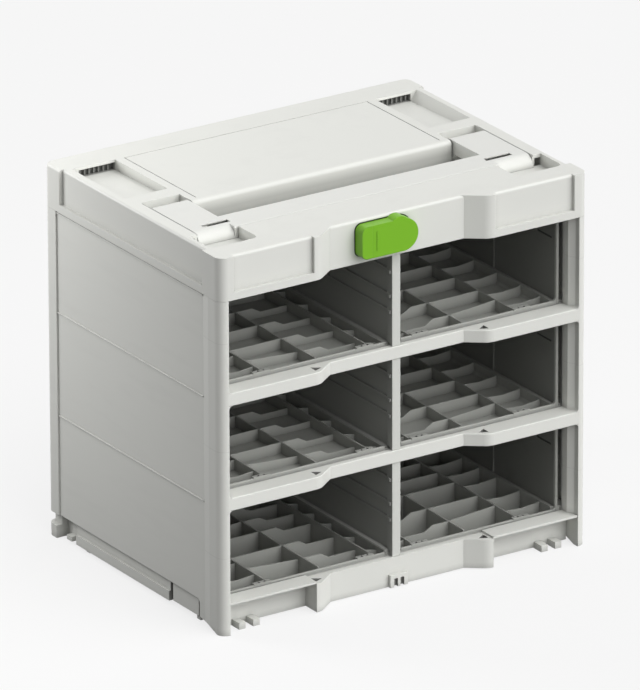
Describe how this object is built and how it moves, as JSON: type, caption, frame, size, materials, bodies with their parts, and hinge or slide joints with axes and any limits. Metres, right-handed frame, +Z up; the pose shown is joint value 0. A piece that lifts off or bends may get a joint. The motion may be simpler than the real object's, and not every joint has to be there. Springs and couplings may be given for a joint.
{
  "type": "tool case rack",
  "caption": "Open-front stackable rack of bays with rib trays for small-parts cases, a folding carrying handle in the top and a rotary latch on the front.",
  "frame": {"origin": "middle of the footprint, on the floor that the feet stand on", "axes": "+Z up, -Y out of the open front where the latch is, +X to the right of someone facing the front"},
  "size_m": [0.396, 0.296, 0.364],
  "materials": {
    "shell": "fine satin texture",
    "handle": "fine satin texture",
    "insert": "fine satin texture",
    "green": "satin",
    "dark_grey": "satin",
    "steel": "zinc plated"
  },
  "bodies": {
    "rack": {"front_frame": "shell", "right_side_wall": "shell", "left_side_wall": "shell", "back_wall": "shell", "base_frame": "shell", "right_skid": "shell", "left_skid": "shell", "top_cover": "shell", "ceiling_panel": "shell", "right_handle_pin": "steel", "left_handle_pin": "steel", "latch_base": "dark_grey", "latch_axle": "steel", "latch_washer": "steel", "lower_right_insert": "insert", "lower_left_insert": "insert", "middle_right_insert": "insert", "middle_left_insert": "insert", "upper_right_insert": "insert", "upper_left_insert": "insert", "lower_divider": "shell", "middle_divider": "shell", "upper_divider": "shell", "middle_shelf": "shell", "upper_shelf": "shell", "back_screws": "steel"},
    "handle": {"handle": "handle"},
    "latch": {"latch_toggle": "green"}
  },
  "joints": [
    {"name": "handle_hinge", "type": "hinge", "parent": "rack", "child": "handle", "pos_m": [0, -0.008, 0.3555], "axis": [-1, 0, 0], "range_deg": [0, 100]},
    {"name": "latch_turn", "type": "hinge", "parent": "rack", "child": "latch", "pos_m": [0, -0.14, 0.345], "axis": [0, 1, 0], "range_deg": [-90, 90]}
  ]
}
